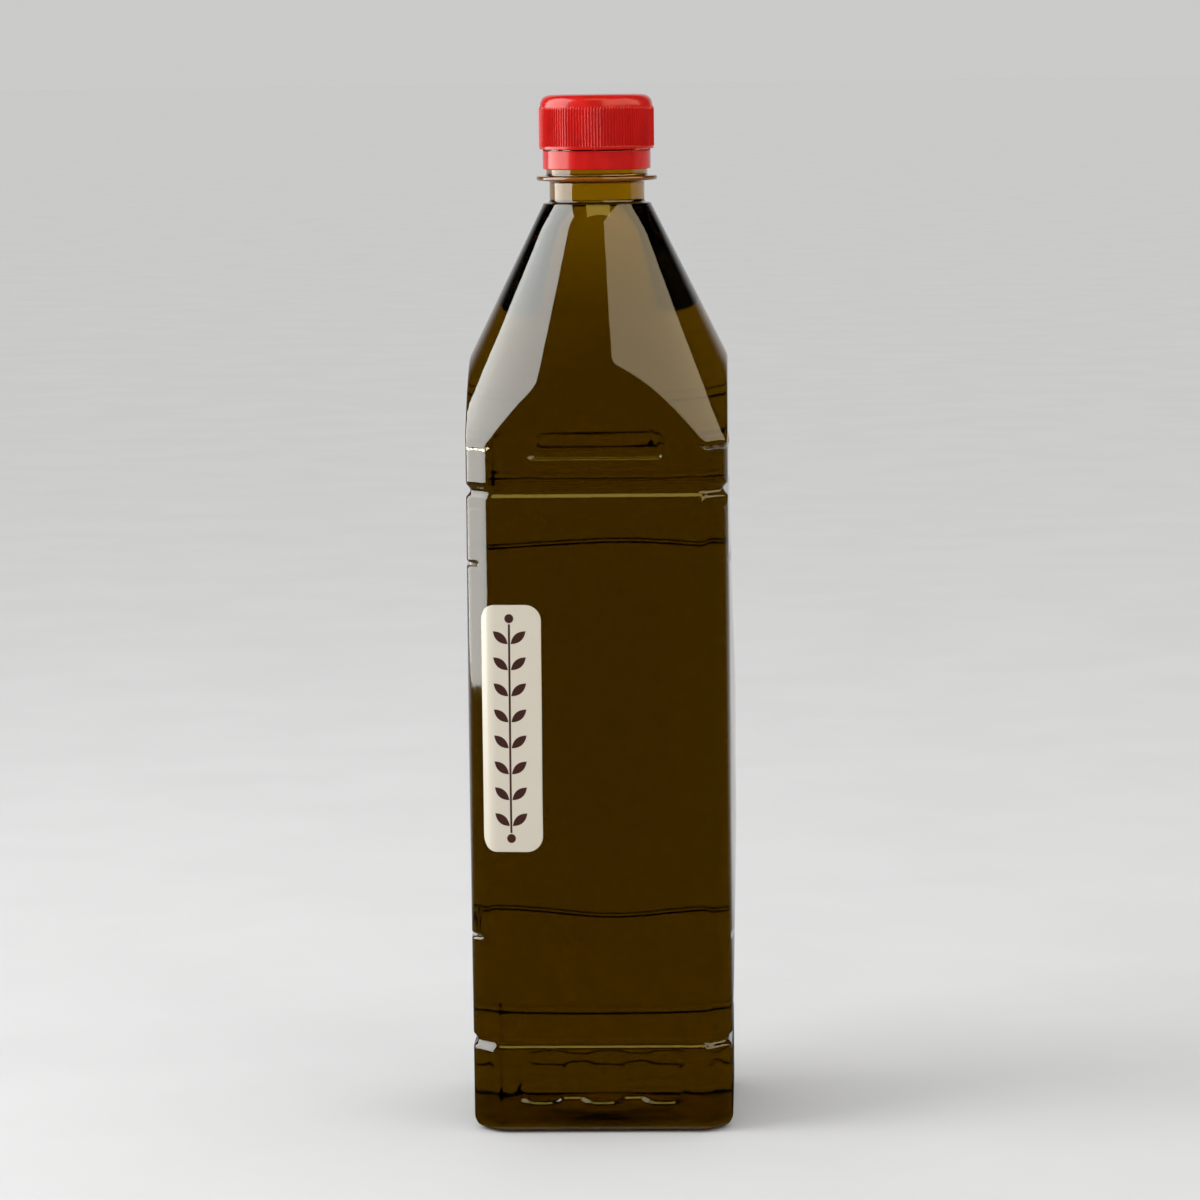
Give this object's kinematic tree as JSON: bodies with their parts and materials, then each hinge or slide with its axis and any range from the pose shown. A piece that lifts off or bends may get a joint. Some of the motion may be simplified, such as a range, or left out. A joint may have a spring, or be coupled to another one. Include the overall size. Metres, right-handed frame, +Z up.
{
  "type": "olive oil bottle",
  "caption": "Square clear plastic bottle of olive oil with a conical shoulder, a ribbed red screw cap and a small cream sticker.",
  "frame": {"origin": "centre of the base, on the surface that the bottle stands on", "axes": "+Z up along the bottle, -Y out of the face that carries the sticker, +X to the right of that face"},
  "size_m": [0.0726, 0.0726, 0.2778],
  "materials": {
    "clear_plastic": "gloss",
    "olive_oil": "gloss",
    "red_plastic": "gloss",
    "cream_paper": "satin"
  },
  "bodies": {
    "root": {"bottle": "clear_plastic", "oil": "olive_oil", "cap": "red_plastic", "tamper_band": "red_plastic", "sticker": "cream_paper"}
  },
  "joints": []
}
